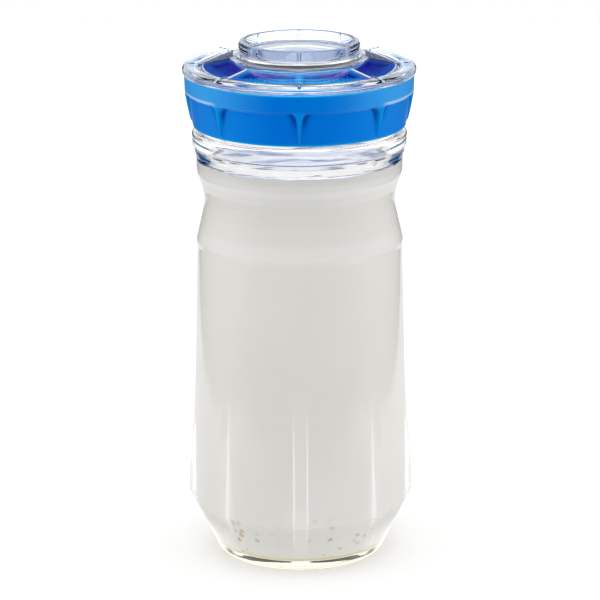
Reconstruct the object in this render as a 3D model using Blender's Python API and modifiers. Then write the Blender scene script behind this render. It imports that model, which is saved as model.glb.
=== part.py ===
"""A 1.4 litre kefir fermenter: a ribbed glass jar with a screw ring, a strainer and a clear vented lid.

Units are metres, +Z is up, the jar stands on z = 0 with its axis on Z and its front towards -Y.
"""

import math

import bmesh
import bpy
from mathutils import Matrix, Vector

# Clearance between pieces that touch and between pieces that turn on each other
gap = 0.0003
turning_gap = 0.0004
# Facets round each piece, and how far a facet may cut an arc
jar_facets = 40
lid_facets = 32
facet_error = 0.0003
# How far a joined shape sinks into the one that carries it
bite = 0.0008

# Glass jar: heights are above the table, drops are below the glass rim
rim_height = 0.2290
base_radius = 0.0402
foot_width = 0.0072
heel_round = 0.0022
push_up_height = 0.0020
hip_radius = 0.05175
hip_height = 0.0252
hip_round = 0.0110
belly_radius = 0.0513
belly_height = 0.0708
shoulder_radius = 0.0491
ridge_radius = 0.0495
ridge_drop = 0.0734
ridge_height = 0.0026
waist_radius = 0.0452
waist_drop = 0.0551
waist_round = 0.0140
collar_foot_radius = 0.0463
collar_foot_drop = 0.0478
collar_drop = 0.0400
collar_round = 0.0050
neck_radius = 0.0469
collar_proud = 0.0022
ledge_proud = 0.0030
ledge_drop = 0.0305
ledge_step = 0.0012
bead_proud = 0.0040
bead_drop = 0.0206
bead_height = 0.0064
lip_round = 0.0015
neck_wall = 0.0039
mouth_flare_drop = 0.0290
jar_wall = 0.0030
floor_thickness = 0.0036

# Grip ribs on the lower jar
rib_count = 8
rib_width = 0.0062
rib_proud = 0.0030
rib_foot_proud = 0.0016
rib_over_belly = 0.0082
rib_over_hip = 0.0036
rib_round = 0.0090

# Kefir in the jar
kefir_drop = 0.0360

# Flat seal on the glass rim
seal_thickness = 0.0015
seal_inset = 0.0006

# Strainer: slotted windows between spokes on a riser, with a flange on the seal and a spigot in the mouth
flange_thickness = 0.0015
spigot_length = 0.0030
spigot_wall = 0.0014
riser_wall = 0.0015
deck_thickness = 0.0015
window_count = 8
window_depth = 0.0022
window_inner_margin = 0.0010
window_outer_margin = 0.0019
spoke_width = 0.0034
slots_in_window = 6
slot_width = 0.0015
slot_end_margin = 0.0010
slot_side_margin = 0.0012

# Screw ring, whose bore clears the jar's thread
thread_depth = 0.0014
thread_clearance = 0.0005
ring_height = 0.0243
band_height = 0.0078
ring_top_wall = 0.0054
band_wall = 0.0052
panel_top_wall = 0.0035
panel_foot_wall = 0.0016
ring_lip_width = 0.0018
ring_lip_thickness = 0.0023
fin_count = 8
fin_top_width = 0.0050
fin_foot_width = 0.0010
fin_proud = 0.0011
fin_foot_rise = 0.0012

# Clear cover, whose slope is in flats that meet at the marks
cover_wall = 0.0020
skirt_wall = 0.0015
skirt_length = 0.0019
rim_overhang = 0.0009
rim_seat_overhang = 0.0002
rim_tall = 0.0042
rim_land_width = 0.0052
rim_groove_width = 0.0009
rim_groove_depth = 0.0007
rim_round = 0.0011
cover_slope = 0.20
landing_width = 0.0060
collar_bore_radius = 0.0265
cup_ledge_depth = 0.0039
cup_ledge_width = 0.0019
cup_ledge_thickness = 0.0015
mark_count = 8
mark_width = 0.0012
mark_proud = 0.0003
vent_count = 2
vent_hole_radius = 0.0012
vent_inset = 0.0029

# Squeezer: a slotted cup with a fluted cone
cup_wall = 0.0017
cup_lip_thickness = 0.0012
cup_depth = 0.0112
cup_round = 0.0020
cone_radius = 0.0140
cone_tip_radius = 0.0030
cone_tip_clearance = 0.0010
cone_wall = 0.0030
flute_count = 8
flute_radius = 0.0026
flute_depth = 0.0011
drain_count = 16
drain_width = 0.0014
drain_margin = 0.0014

# Vented cap and its seal
cap_flange_inset = 0.0013
cap_flange_thickness = 0.0016
cap_floor_thickness = 0.0020
cap_floor_rise = 0.0005
cap_height = 0.0080
cap_wall_overlap = 0.0016
cap_wall_flare = 0.0004
cap_wall = 0.0019
cap_round = 0.0006
cap_turn = math.radians(45)
plug_wall = 0.0029
plug_length = 0.0029
boss_radius = 0.0096
boss_height = 0.0004
cap_seal_radius = 0.0008
cap_seal_facets = 6
finger_rib_width = 0.0014
finger_rib_proud = 0.0004

# Radii that follow from the sizes above
push_up_radius = base_radius - foot_width
collar_radius = neck_radius + collar_proud
ledge_radius = neck_radius + ledge_proud
bead_radius = neck_radius + bead_proud
mouth_radius = neck_radius - neck_wall
rib_crest_radius = hip_radius + rib_proud
rib_foot_radius = base_radius + rib_foot_proud
ring_bore_radius = neck_radius + thread_depth + thread_clearance
ring_top_radius = ring_bore_radius + ring_top_wall
band_radius = ring_bore_radius + band_wall
panel_top_radius = ring_bore_radius + panel_top_wall
panel_foot_radius = ring_bore_radius + panel_foot_wall
ring_lip_radius = ring_bore_radius - ring_lip_width
flange_radius = ring_bore_radius - turning_gap
skirt_radius = ring_lip_radius - gap
skirt_inner_radius = skirt_radius - skirt_wall
riser_radius = skirt_inner_radius - turning_gap
rim_seat_radius = ring_top_radius + rim_seat_overhang
rim_radius = ring_top_radius + rim_overhang
rim_land_radius = rim_seat_radius - rim_land_width
rim_groove_radius = rim_land_radius - rim_groove_width
slope_foot_radius = rim_groove_radius - rim_groove_depth
landing_radius = collar_bore_radius + landing_width
vent_circle_radius = collar_bore_radius + vent_inset
collar_outer_radius = collar_bore_radius + cup_ledge_thickness
deck_inner_radius = collar_outer_radius + 2 * gap
window_inner_radius = landing_radius + window_inner_margin
window_outer_radius = riser_radius - window_outer_margin
slot_inner_radius = window_inner_radius + slot_end_margin
slot_outer_radius = window_outer_radius - slot_end_margin
cup_ledge_radius = collar_bore_radius - cup_ledge_width
cup_lip_radius = collar_bore_radius - gap
cup_radius = cup_ledge_radius - gap
cap_flange_radius = landing_radius - cap_flange_inset
cap_wall_radius = collar_bore_radius + cap_wall_overlap
cap_seal_ring_radius = collar_bore_radius - cap_seal_radius
seal_groove_radius = collar_bore_radius + gap
plug_radius = cap_seal_ring_radius - cap_seal_radius - gap

# Heights that follow from the sizes above, from the glass rim up through the lid
kefir_level = rim_height - kefir_drop
seal_foot = rim_height + gap
flange_foot = seal_foot + seal_thickness + gap
flange_top = flange_foot + flange_thickness
ring_lip_foot = flange_top + gap
ring_top = ring_lip_foot + ring_lip_thickness
ring_foot = ring_top - ring_height
cover_seat = ring_top + gap
rim_top = cover_seat + rim_tall
slope_foot_height = rim_top - rim_groove_depth / 2
landing_top = slope_foot_height + cover_slope * (slope_foot_radius - landing_radius)
landing_foot = landing_top - cover_wall
cup_ledge_top = landing_top - cup_ledge_depth
cup_lip_foot = cup_ledge_top + gap
cup_lip_top = cup_lip_foot + cup_lip_thickness
cup_floor_top = cup_lip_top - cup_depth
cap_foot = landing_top + gap
cap_floor_foot = cap_foot + cap_floor_rise
cap_floor_top = cap_floor_foot + cap_floor_thickness
plug_foot = cap_floor_foot - plug_length
# The cap's seal lies on the inner edge of the cover's landing
cap_seal_height = landing_top + math.sqrt((cap_seal_radius + gap) ** 2 - cap_seal_radius**2)
seal_groove_top = cap_seal_height + cap_seal_radius + gap
cone_tip = cap_floor_foot - boss_height - cone_tip_clearance


def cover_underside(radius):
    """Height of the clear cover's underside, flat over the landing and sloping down outside it."""
    return landing_foot - cover_slope * max(0.0, radius - landing_radius)


def rounded(corners, closed):
    """Points of an outline given as corners (radius, height, round), each arc no longer than its sides allow."""
    points = []
    count = len(corners)
    for i, corner in enumerate(corners):
        here = Vector(corner[:2])
        size = corner[2] if len(corner) > 2 else 0.0
        if size <= 0 or (not closed and i in (0, count - 1)):
            points.append(here)
            continue
        back = Vector(corners[i - 1][:2]) - here
        ahead = Vector(corners[(i + 1) % count][:2]) - here
        turn = math.pi - back.angle(ahead)
        if turn < math.radians(0.5):
            points.append(here)
            continue
        reach = min(size * math.tan(turn / 2), 0.49 * back.length, 0.49 * ahead.length)
        size = reach / math.tan(turn / 2)
        start = here + back.normalized() * reach
        end = here + ahead.normalized() * reach
        middle = here + (back.normalized() + ahead.normalized()).normalized() * size / math.cos(turn / 2)
        steps = max(1, math.ceil(turn / 2 / math.acos(max(0.0, 1 - facet_error / size))))
        for k in range(steps + 1):
            share = k / steps
            spoke = (start - middle).normalized().slerp((end - middle).normalized(), share)
            points.append(middle + spoke * size)
    return points


def radius_at(points, height):
    """Radius of a falling or rising outline where it first crosses a height."""
    for a, b in zip(points, points[1:]):
        if min(a.y, b.y) <= height <= max(a.y, b.y) and a.y != b.y:
            return a.x + (b.x - a.x) * (height - a.y) / (b.y - a.y)
    return points[-1].x


def add_object(name, mesh, collection):
    piece = bpy.data.objects.new(name, mesh)
    collection.objects.link(piece)
    return piece


def turned(name, points, closed, facets):
    """A turned piece: the outline is drawn in the XZ plane and swept round Z by a Screw modifier."""
    count = len(points)
    edges = [(i, (i + 1) % count) for i in range(count if closed else count - 1)]
    mesh = bpy.data.meshes.new(name)
    mesh.from_pydata([(p.x, 0, p.y) for p in points], edges, [])
    piece = add_object(name, mesh, parts)
    sweep = piece.modifiers.new("Turn", "SCREW")
    sweep.axis = "Z"
    sweep.angle = math.tau
    sweep.steps = facets
    sweep.render_steps = facets
    sweep.use_merge_vertices = True
    sweep.merge_threshold = 1e-6
    sweep.use_smooth_shade = True
    return piece


def plate(points, width):
    """A flat outline in the XZ plane given thickness along Y, as a mesh."""
    curve = bpy.data.curves.new("outline", "CURVE")
    curve.dimensions = "2D"
    curve.fill_mode = "BOTH"
    curve.extrude = width / 2
    spline = curve.splines.new("POLY")
    spline.points.add(len(points) - 1)
    for spot, point in zip(spline.points, points):
        spot.co = (point.x, point.y, 0, 1)
    spline.use_cyclic_u = True
    outline = add_object("outline", curve, helpers)
    outline.rotation_euler.x = math.pi / 2
    bpy.context.view_layer.update()
    evaluated = outline.evaluated_get(bpy.context.evaluated_depsgraph_get())
    mesh = bpy.data.meshes.new_from_object(evaluated)
    mesh.transform(outline.matrix_world)
    bpy.data.objects.remove(outline)
    shape = bmesh.new()
    shape.from_mesh(mesh)
    bmesh.ops.remove_doubles(shape, verts=shape.verts, dist=1e-6)
    bmesh.ops.recalc_face_normals(shape, faces=shape.faces)
    shape.to_mesh(mesh)
    shape.free()
    return mesh


def box_mesh(low, high):
    shape = bmesh.new()
    bmesh.ops.create_cube(shape, size=1)
    middle = (Vector(low) + Vector(high)) / 2
    sides = Vector(high) - Vector(low)
    bmesh.ops.transform(shape, matrix=Matrix.LocRotScale(middle, None, sides), verts=shape.verts)
    mesh = bpy.data.meshes.new("box")
    shape.to_mesh(mesh)
    shape.free()
    return mesh


def rod_mesh(radius, start, end, facets, start_radius=None):
    """A capped cylinder between two points, or a cone where it starts with another radius."""
    run = Vector(end) - Vector(start)
    turn = run.to_track_quat("Z", "Y").to_matrix().to_4x4()
    place = Matrix.Translation((Vector(start) + Vector(end)) / 2) @ turn
    shape = bmesh.new()
    bmesh.ops.create_cone(
        shape,
        cap_ends=True,
        segments=facets,
        radius1=start_radius or radius,
        radius2=radius,
        depth=run.length,
        matrix=place,
    )
    mesh = bpy.data.meshes.new("rod")
    shape.to_mesh(mesh)
    shape.free()
    return mesh


def around(name, mesh, angles):
    """One helper object that holds a copy of the mesh at each angle round Z."""
    shape = bmesh.new()
    for angle in angles:
        copy = mesh.copy()
        copy.transform(Matrix.Rotation(angle, 4, "Z"))
        shape.from_mesh(copy)
        bpy.data.meshes.remove(copy)
    together = bpy.data.meshes.new(name)
    shape.to_mesh(together)
    shape.free()
    bpy.data.meshes.remove(mesh)
    helper = add_object(name, together, helpers)
    helper.hide_render = True
    helper.display_type = "WIRE"
    return helper


def combine(piece, helper, operation):
    boolean = piece.modifiers.new(helper.name, "BOOLEAN")
    boolean.operation = operation
    boolean.solver = "EXACT"
    boolean.object = helper


def even_angles(count, start=0.0):
    return [start + math.tau * k / count for k in range(count)]


def front_angles(count):
    """Evenly spaced angles with one at the front, which faces -Y."""
    return even_angles(count, -math.pi / 2)


def finish(piece, color, roughness, clear=False):
    """Gives a piece its material and smooth shading across its round faces."""
    material = bpy.data.materials.new(piece.name)
    material.use_nodes = True
    shader = material.node_tree.nodes["Principled BSDF"]
    shader.inputs["Base Color"].default_value = (*color, 1)
    shader.inputs["Roughness"].default_value = roughness
    shader.inputs["Metallic"].default_value = 0.0
    shader.inputs["Transmission Weight"].default_value = 1.0 if clear else 0.0
    piece.data.materials.append(material)
    piece.data.shade_smooth()


def jar_outside():
    """Outer wall from the heel up to the lip, as corners."""
    return [
        (base_radius, 0, heel_round),
        (hip_radius, hip_height, hip_round),
        (belly_radius, belly_height),
        (shoulder_radius, rim_height - ridge_drop - ridge_height),
        (ridge_radius, rim_height - ridge_drop, 0.3 * ridge_height),
        (waist_radius, rim_height - waist_drop, waist_round),
        (collar_foot_radius, rim_height - collar_foot_drop, collar_round),
        (collar_radius, rim_height - collar_drop, collar_round),
        (collar_radius, rim_height - ledge_drop - ledge_step),
        (ledge_radius, rim_height - ledge_drop),
        (ledge_radius, rim_height - bead_drop - bead_height - gap),
        (bead_radius, rim_height - bead_drop - bead_height, bead_height / 4),
        (bead_radius, rim_height - bead_drop, bead_height / 3),
        (neck_radius, rim_height - bead_drop + gap),
        (neck_radius, rim_height, lip_round),
    ]


def jar_inside(clearance=0.0):
    """Inner wall from the lip down to the floor's edge, moved in by a clearance."""
    floor = floor_thickness + clearance
    slant = math.hypot(hip_radius - base_radius, hip_height) / hip_height
    inner = [
        (mouth_radius, rim_height, lip_round),
        (mouth_radius, rim_height - mouth_flare_drop, collar_round),
        (collar_radius - jar_wall, rim_height - collar_drop + collar_round / 3, collar_round),
        (waist_radius - jar_wall, rim_height - waist_drop, waist_round),
        (ridge_radius - jar_wall, rim_height - ridge_drop),
        (belly_radius - jar_wall, belly_height),
        (hip_radius - jar_wall, hip_height, hip_round),
        (base_radius - jar_wall * slant, 0),
    ]
    low, high = Vector(inner[-1]), Vector(inner[-2][:2])
    inner[-1] = (low.x + (high.x - low.x) * floor / high.y, floor, 2 * heel_round)
    return [(corner[0] - clearance, *corner[1:]) for corner in inner]


def make_glass_jar():
    inside = jar_inside()
    corners = [(0, floor_thickness), *reversed(inside), *reversed(jar_outside())]
    corners += [(push_up_radius, 0), (push_up_radius - push_up_height, push_up_height), (0, push_up_height)]
    jar = turned("glass_jar", rounded(corners, False), False, jar_facets)
    rib_top = belly_height + rib_over_belly
    foot = rib_foot_radius - 3 * bite
    rib = rounded(
        [
            (belly_radius - 2 * bite, rib_top),
            (belly_radius - bite, rib_top),
            (rib_crest_radius, hip_height + rib_over_hip, rib_round),
            (rib_foot_radius, bite, bite),
            (foot, bite),
            (hip_radius - 2 * bite, hip_height),
        ],
        True,
    )
    combine(jar, around("jar_ribs", plate(rib, rib_width), front_angles(rib_count)), "UNION")
    finish(jar, (0.93, 0.96, 0.96), 0.03, clear=True)


def make_kefir_fill():
    inside = rounded([*jar_inside(gap), (0, floor_thickness + gap)], False)
    below = [point for point in inside if point.y < kefir_level - gap]
    top = Vector((radius_at(inside, kefir_level), kefir_level))
    fill = turned("kefir_fill", [Vector((0, kefir_level)), top, *below], False, jar_facets)
    finish(fill, (0.84, 0.83, 0.79), 0.5)


def make_jar_seal():
    low, high = seal_foot, seal_foot + seal_thickness
    inner, outer = mouth_radius + seal_inset, neck_radius + seal_inset
    points = rounded([(inner, low), (inner, high), (outer, high), (outer, low)], True)
    seal = turned("jar_seal", points, True, lid_facets)
    finish(seal, (0.80, 0.80, 0.78), 0.6)


def deck_top(radius):
    """Height of the strainer's spokes and edges, just under the clear cover."""
    return cover_underside(radius) - gap


def window_floor(radius):
    return deck_top(radius) - window_depth


def make_strainer():
    spigot_radius = mouth_radius - gap
    riser_inner_radius = riser_radius - riser_wall
    edge_radius = window_inner_radius - deck_thickness
    points = rounded(
        [
            (deck_inner_radius, deck_top(deck_inner_radius)),
            (landing_radius, deck_top(landing_radius)),
            (window_inner_radius, deck_top(window_inner_radius)),
            (window_inner_radius, window_floor(window_inner_radius)),
            (window_outer_radius, window_floor(window_outer_radius)),
            (window_outer_radius, deck_top(window_outer_radius)),
            (riser_radius, deck_top(riser_radius), riser_wall / 2),
            (riser_radius, flange_top),
            (flange_radius, flange_top),
            (flange_radius, flange_foot),
            (spigot_radius, flange_foot),
            (spigot_radius, rim_height - spigot_length),
            (spigot_radius - spigot_wall, rim_height - spigot_length),
            (spigot_radius - spigot_wall, flange_foot + flange_thickness / 2),
            (riser_inner_radius, flange_top),
            (riser_inner_radius, window_floor(riser_inner_radius) - deck_thickness),
            (edge_radius, window_floor(edge_radius) - deck_thickness),
            (edge_radius, deck_top(edge_radius) - deck_thickness),
            (deck_inner_radius, deck_top(deck_inner_radius) - deck_thickness),
        ],
        True,
    )
    strainer = turned("strainer", points, True, lid_facets)
    spoke_ends = [window_inner_radius - bite, window_outer_radius + bite]
    spoke = [Vector((radius, deck_top(radius) - gap)) for radius in spoke_ends]
    spoke += [Vector((radius, window_floor(radius) - bite)) for radius in reversed(spoke_ends)]
    combine(strainer, around("strainer_spokes", plate(spoke, spoke_width), front_angles(window_count)), "UNION")
    slot = box_mesh(
        (slot_inner_radius, -slot_width / 2, window_floor(slot_outer_radius) - 2 * deck_thickness),
        (slot_outer_radius, slot_width / 2, landing_top),
    )
    # The outer slots of a window keep a margin to the spokes beside them
    half = math.pi / window_count - (spoke_width / 2 + slot_side_margin + slot_width / 2) / slot_inner_radius
    angles = []
    for middle in even_angles(window_count, math.pi / window_count):
        for k in range(slots_in_window):
            angles.append(middle - half + 2 * half * k / (slots_in_window - 1))
    combine(strainer, around("strainer_slots", slot, angles), "DIFFERENCE")
    finish(strainer, (0.0, 0.16, 0.72), 0.35)


def make_screw_ring():
    step_height = ring_top - band_height
    step_drop = band_radius - panel_top_radius
    corners = [
        (ring_lip_radius, ring_top),
        (ring_top_radius, ring_top, ring_lip_thickness / 4),
        (band_radius, step_height, step_drop / 2),
        (panel_top_radius, step_height - step_drop / 2, step_drop / 2),
        (panel_foot_radius, ring_foot, gap),
        (ring_bore_radius, ring_foot),
        (ring_bore_radius, ring_lip_foot),
        (ring_lip_radius, ring_lip_foot),
    ]
    ring = turned("screw_ring", rounded(corners, True), True, lid_facets)
    combine(ring, around("ring_fins", fin_mesh(step_height), front_angles(fin_count)), "UNION")
    finish(ring, (0.0, 0.22, 0.80), 0.3)


def fin_mesh(step_height):
    """A grip fin: flush with the band at its top, spreading into it, and run out to a point at its foot."""
    foot = ring_foot + fin_foot_rise
    head = step_height + bite
    inside = ring_bore_radius + bite
    levels = 7
    outer = []
    for k in range(levels):
        share = k / (levels - 1)
        height = foot + (head - fin_proud - foot) * share
        panel = panel_foot_radius + (panel_top_radius - panel_foot_radius) * share
        outer.append(Vector((panel + fin_proud * share**0.6, height)))
    outer.append(Vector((band_radius - gap, head)))
    inner = [Vector((inside, point.y)) for point in reversed(outer)]
    mesh = plate(outer + inner, 1.0)
    for vert in mesh.vertices:
        share = (vert.co.z - foot) / (head - foot)
        width = fin_foot_width + (fin_top_width - fin_foot_width) * share**4
        reach = (vert.co.x - inside) / (band_radius - inside)
        vert.co.y *= width * (1.6 - 0.6 * max(0.0, reach))
    return mesh


def flatten_slope(cover):
    """Turns the round slope between the landing and the rim into flats that meet at the marks."""
    evaluated = cover.evaluated_get(bpy.context.evaluated_depsgraph_get())
    mesh = bpy.data.meshes.new_from_object(evaluated)
    cover.modifiers.clear()
    cover.data = mesh
    half = math.pi / mark_count
    landing_corner = Vector((landing_radius, landing_top))
    slope_foot = Vector((slope_foot_radius, slope_foot_height))
    for vert in mesh.vertices:
        spot = Vector((math.hypot(vert.co.x, vert.co.y), vert.co.z))
        # Angle from the middle of the flat
        turn = (math.atan2(vert.co.y, vert.co.x) + math.pi / 2) % (2 * half) - half
        if (spot - landing_corner).length < gap / 2:
            vert.co.xy *= math.cos(half) / math.cos(turn)
        elif (spot - slope_foot).length < gap / 2:
            vert.co.z = landing_top - cover_slope * (spot.x * math.cos(turn) / math.cos(half) - landing_radius)


def make_clear_cover():
    rim_foot_radius = rim_seat_radius - cover_wall
    channel_top = rim_top - cover_wall - rim_groove_depth
    corners = [
        (collar_bore_radius, landing_top, gap),
        (landing_radius, landing_top),
        (slope_foot_radius, slope_foot_height),
        (rim_groove_radius, rim_top - rim_groove_depth),
        (rim_land_radius, rim_top, rim_groove_depth / 2),
        (rim_seat_radius - rim_round / 2, rim_top, rim_round),
        (rim_radius, cover_seat + rim_tall * 0.62, rim_round),
        (rim_radius, cover_seat + rim_tall * 0.25, rim_round),
        (rim_seat_radius, cover_seat),
        (rim_foot_radius, cover_seat),
        (rim_foot_radius, channel_top),
        (skirt_radius, channel_top),
        (skirt_radius, cover_seat - skirt_length),
        (skirt_inner_radius, cover_seat - skirt_length),
        (skirt_inner_radius, cover_underside(skirt_inner_radius)),
        (landing_radius, landing_foot),
        (collar_outer_radius, landing_foot),
        (collar_outer_radius, cup_ledge_top - cup_ledge_thickness),
        (cup_ledge_radius, cup_ledge_top - cup_ledge_thickness),
        (cup_ledge_radius, cup_ledge_top),
        (collar_bore_radius, cup_ledge_top),
    ]
    cover = turned("clear_cover", rounded(corners, True), True, lid_facets)
    flatten_slope(cover)
    mark = box_mesh(
        (slope_foot_radius - bite, -mark_width / 2, rim_top - rim_groove_depth - bite),
        (rim_seat_radius, mark_width / 2, rim_top + mark_proud),
    )
    combine(cover, around("cover_marks", mark, front_angles(mark_count)), "UNION")
    hole = rod_mesh(
        vent_hole_radius,
        (vent_circle_radius, 0, landing_foot - cover_wall),
        (vent_circle_radius, 0, landing_top + cover_wall),
        12,
    )
    combine(cover, around("vent_holes", hole, even_angles(vent_count)), "DIFFERENCE")
    finish(cover, (0.95, 0.97, 0.98), 0.04, clear=True)


def make_squeezer():
    floor_foot = cup_floor_top - cup_wall
    cup_inside = cup_radius - cup_wall
    lean = cone_wall * math.hypot(1, (cone_radius - cone_tip_radius) / (cone_tip - cup_floor_top))
    corners = [
        (0, cone_tip),
        (cone_tip_radius, cone_tip, cone_tip_radius / 2),
        (cone_radius, cup_floor_top, cup_round / 2),
        (cup_inside, cup_floor_top, cup_round),
        (cup_inside, cup_lip_top),
        (cup_lip_radius, cup_lip_top),
        (cup_lip_radius, cup_lip_foot),
        (cup_radius, cup_lip_foot),
        (cup_radius, floor_foot, cup_round + cup_wall),
        (cone_radius - lean, floor_foot),
        (cone_tip_radius / 3, cone_tip - 2 * cone_wall),
        (0, cone_tip - 2 * cone_wall),
    ]
    squeezer = turned("squeezer", rounded(corners, False), False, lid_facets)
    side = Vector((cone_radius - cone_tip_radius, 0, cup_floor_top - cone_tip))
    outwards = Vector((-side.z, 0, side.x)).normalized()
    narrow = flute_radius * cone_tip_radius / cone_radius
    start = Vector((cone_tip_radius, 0, cone_tip)) + outwards * narrow / 2
    end = Vector((cone_radius, 0, cup_floor_top)) + outwards * (flute_radius - flute_depth) - side * 0.1
    flute = rod_mesh(flute_radius, start, end, 10, narrow)
    combine(squeezer, around("squeezer_flutes", flute, front_angles(flute_count)), "DIFFERENCE")
    drain = box_mesh(
        (cone_radius + drain_margin, -drain_width / 2, floor_foot - cup_wall),
        (cup_inside - drain_margin, drain_width / 2, cup_floor_top + cup_wall),
    )
    angles = even_angles(drain_count, math.pi / drain_count)
    combine(squeezer, around("squeezer_drains", drain, angles), "DIFFERENCE")
    finish(squeezer, (0.0, 0.16, 0.72), 0.35)


def make_cap_seal():
    bpy.ops.mesh.primitive_torus_add(
        major_segments=lid_facets,
        minor_segments=cap_seal_facets,
        major_radius=cap_seal_ring_radius,
        minor_radius=cap_seal_radius,
        location=(0, 0, cap_seal_height),
    )
    seal = bpy.context.object
    seal.name = seal.data.name = "cap_seal"
    for home in list(seal.users_collection):
        home.objects.unlink(seal)
    parts.objects.link(seal)
    finish(seal, (0.02, 0.02, 0.025), 0.5)


def make_vent_cap():
    wall_foot_radius = cap_wall_radius + cap_wall_flare
    flange_top_height = cap_foot + cap_flange_thickness
    cap_top = cap_foot + cap_height
    corners = [
        (0, cap_floor_top),
        (cap_wall_radius - 1.4 * cap_wall, cap_floor_top, cap_round),
        (cap_wall_radius - cap_wall, cap_top, cap_round),
        (cap_wall_radius, cap_top, cap_round),
        (wall_foot_radius, flange_top_height, cap_round),
        (cap_flange_radius, flange_top_height, cap_round),
        (cap_flange_radius, cap_foot),
        (seal_groove_radius, cap_foot),
        (seal_groove_radius, seal_groove_top),
        (plug_radius, seal_groove_top),
        (plug_radius, plug_foot),
        (plug_radius - plug_wall, plug_foot),
        (plug_radius - plug_wall, cap_floor_foot),
        (boss_radius, cap_floor_foot),
        (boss_radius, cap_floor_foot - boss_height),
        (0, cap_floor_foot - boss_height),
    ]
    cap = turned("vent_cap", rounded(corners, False), False, lid_facets)
    rib = box_mesh(
        (cap_wall_radius - cap_wall / 2, -finger_rib_width / 2, flange_top_height - bite),
        (wall_foot_radius + finger_rib_proud, finger_rib_width / 2, cap_top - cap_round),
    )
    combine(cap, around("finger_ribs", rib, front_angles(mark_count)), "UNION")
    notch = rod_mesh(
        vent_hole_radius + gap,
        (vent_circle_radius + vent_hole_radius, 0, cap_foot - bite),
        (vent_circle_radius + vent_hole_radius, 0, cap_foot + bite),
        12,
    )
    combine(cap, around("cap_notches", notch, even_angles(vent_count, -cap_turn)), "DIFFERENCE")
    finish(cap, (0.95, 0.97, 0.98), 0.04, clear=True)


for leftover in list(bpy.data.objects):
    bpy.data.objects.remove(leftover, do_unlink=True)
parts = bpy.data.collections.new("kefir_fermentation_jar")
helpers = bpy.data.collections.new("cutters")
bpy.context.scene.collection.children.link(parts)
bpy.context.scene.collection.children.link(helpers)

make_glass_jar()
make_kefir_fill()
make_jar_seal()
make_strainer()
make_screw_ring()
make_clear_cover()
make_squeezer()
make_cap_seal()
make_vent_cap()
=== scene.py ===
import math

import bpy
from mathutils import Matrix, Vector


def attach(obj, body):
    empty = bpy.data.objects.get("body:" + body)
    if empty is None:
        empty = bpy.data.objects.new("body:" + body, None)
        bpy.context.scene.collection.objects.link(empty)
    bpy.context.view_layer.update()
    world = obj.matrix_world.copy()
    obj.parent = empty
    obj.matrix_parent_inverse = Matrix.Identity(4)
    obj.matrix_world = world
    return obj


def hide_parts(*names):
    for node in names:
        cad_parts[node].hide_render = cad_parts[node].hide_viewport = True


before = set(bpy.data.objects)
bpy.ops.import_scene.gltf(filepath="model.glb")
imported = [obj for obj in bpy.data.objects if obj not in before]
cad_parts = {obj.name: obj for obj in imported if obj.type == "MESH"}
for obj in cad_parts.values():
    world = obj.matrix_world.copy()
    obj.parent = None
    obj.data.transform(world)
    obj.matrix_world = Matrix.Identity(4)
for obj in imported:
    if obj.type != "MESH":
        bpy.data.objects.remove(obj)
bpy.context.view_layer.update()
mm = 0.001
print("frame loaded")


# Node trees

class Wire:
    # An output socket of a node tree. Arithmetic on wires adds Math nodes.
    def __init__(self, nodes, socket):
        self.nodes = nodes
        self.socket = socket

    def calc(self, operation, *others):
        values = {0: self}
        values.update({i + 1: other for i, other in enumerate(others)})
        return self.nodes.add("ShaderNodeMath", {"operation": operation}, values)

    def __add__(self, other):
        return self.calc("ADD", other)

    def __sub__(self, other):
        return self.calc("SUBTRACT", other)

    def __rsub__(self, other):
        return self.calc("MULTIPLY", -1).calc("ADD", other)

    def __mul__(self, other):
        return self.calc("MULTIPLY", other)

    def __truediv__(self, other):
        return self.calc("DIVIDE", other)

    def __rtruediv__(self, other):
        return self.calc("POWER", -1).calc("MULTIPLY", other)

    def __mod__(self, other):
        return self.calc("FLOORED_MODULO", other)

    __radd__ = __add__
    __rmul__ = __mul__


class Nodes:
    # A node tree. Every kind of node is added to it in the same way.
    def __init__(self, tree):
        self.tree = tree

    def add(self, kind, settings=None, sockets=None, output=0):
        node = self.tree.nodes.new(kind)
        for name, value in (settings or {}).items():
            setattr(node, name, value)
        for name, value in (sockets or {}).items():
            socket = self.find(node.inputs, name)
            if isinstance(value, Wire):
                self.tree.links.new(value.socket, socket)
            else:
                socket.default_value = value
        return Wire(self, self.find(node.outputs, output)) if node.outputs else None

    def find(self, sockets, name):
        if isinstance(name, int):
            return sockets[name]
        return next(s for s in sockets if s.name == name and s.enabled)

    def axis(self, vector, letter):
        return self.add("ShaderNodeSeparateXYZ", {}, {"Vector": vector}, letter)

    def painted(self, name):
        # A value that the mesh carries on its points
        return self.add("ShaderNodeAttribute", {"attribute_name": name}, {}, "Fac")

    def noise(self, place, scale, detail=3.0, roughness=0.5):
        values = {"Vector": place, "Scale": scale, "Detail": detail, "Roughness": roughness}
        return self.add("ShaderNodeTexNoise", {}, values, "Fac")

    def step(self, value, low, high):
        # 0 below low, 1 above high
        settings = {"interpolation_type": "SMOOTHSTEP"}
        values = {"Value": value, "From Min": low, "From Max": high}
        return self.add("ShaderNodeMapRange", settings, values, "Result")

    def mix(self, share, first, second):
        # Colours are given as three numbers or as a wire
        first, second = (c if isinstance(c, Wire) else (*c, 1) for c in (first, second))
        values = {"Factor": share, "A": first, "B": second}
        return self.add("ShaderNodeMix", {"data_type": "RGBA"}, values, "Result")


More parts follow.
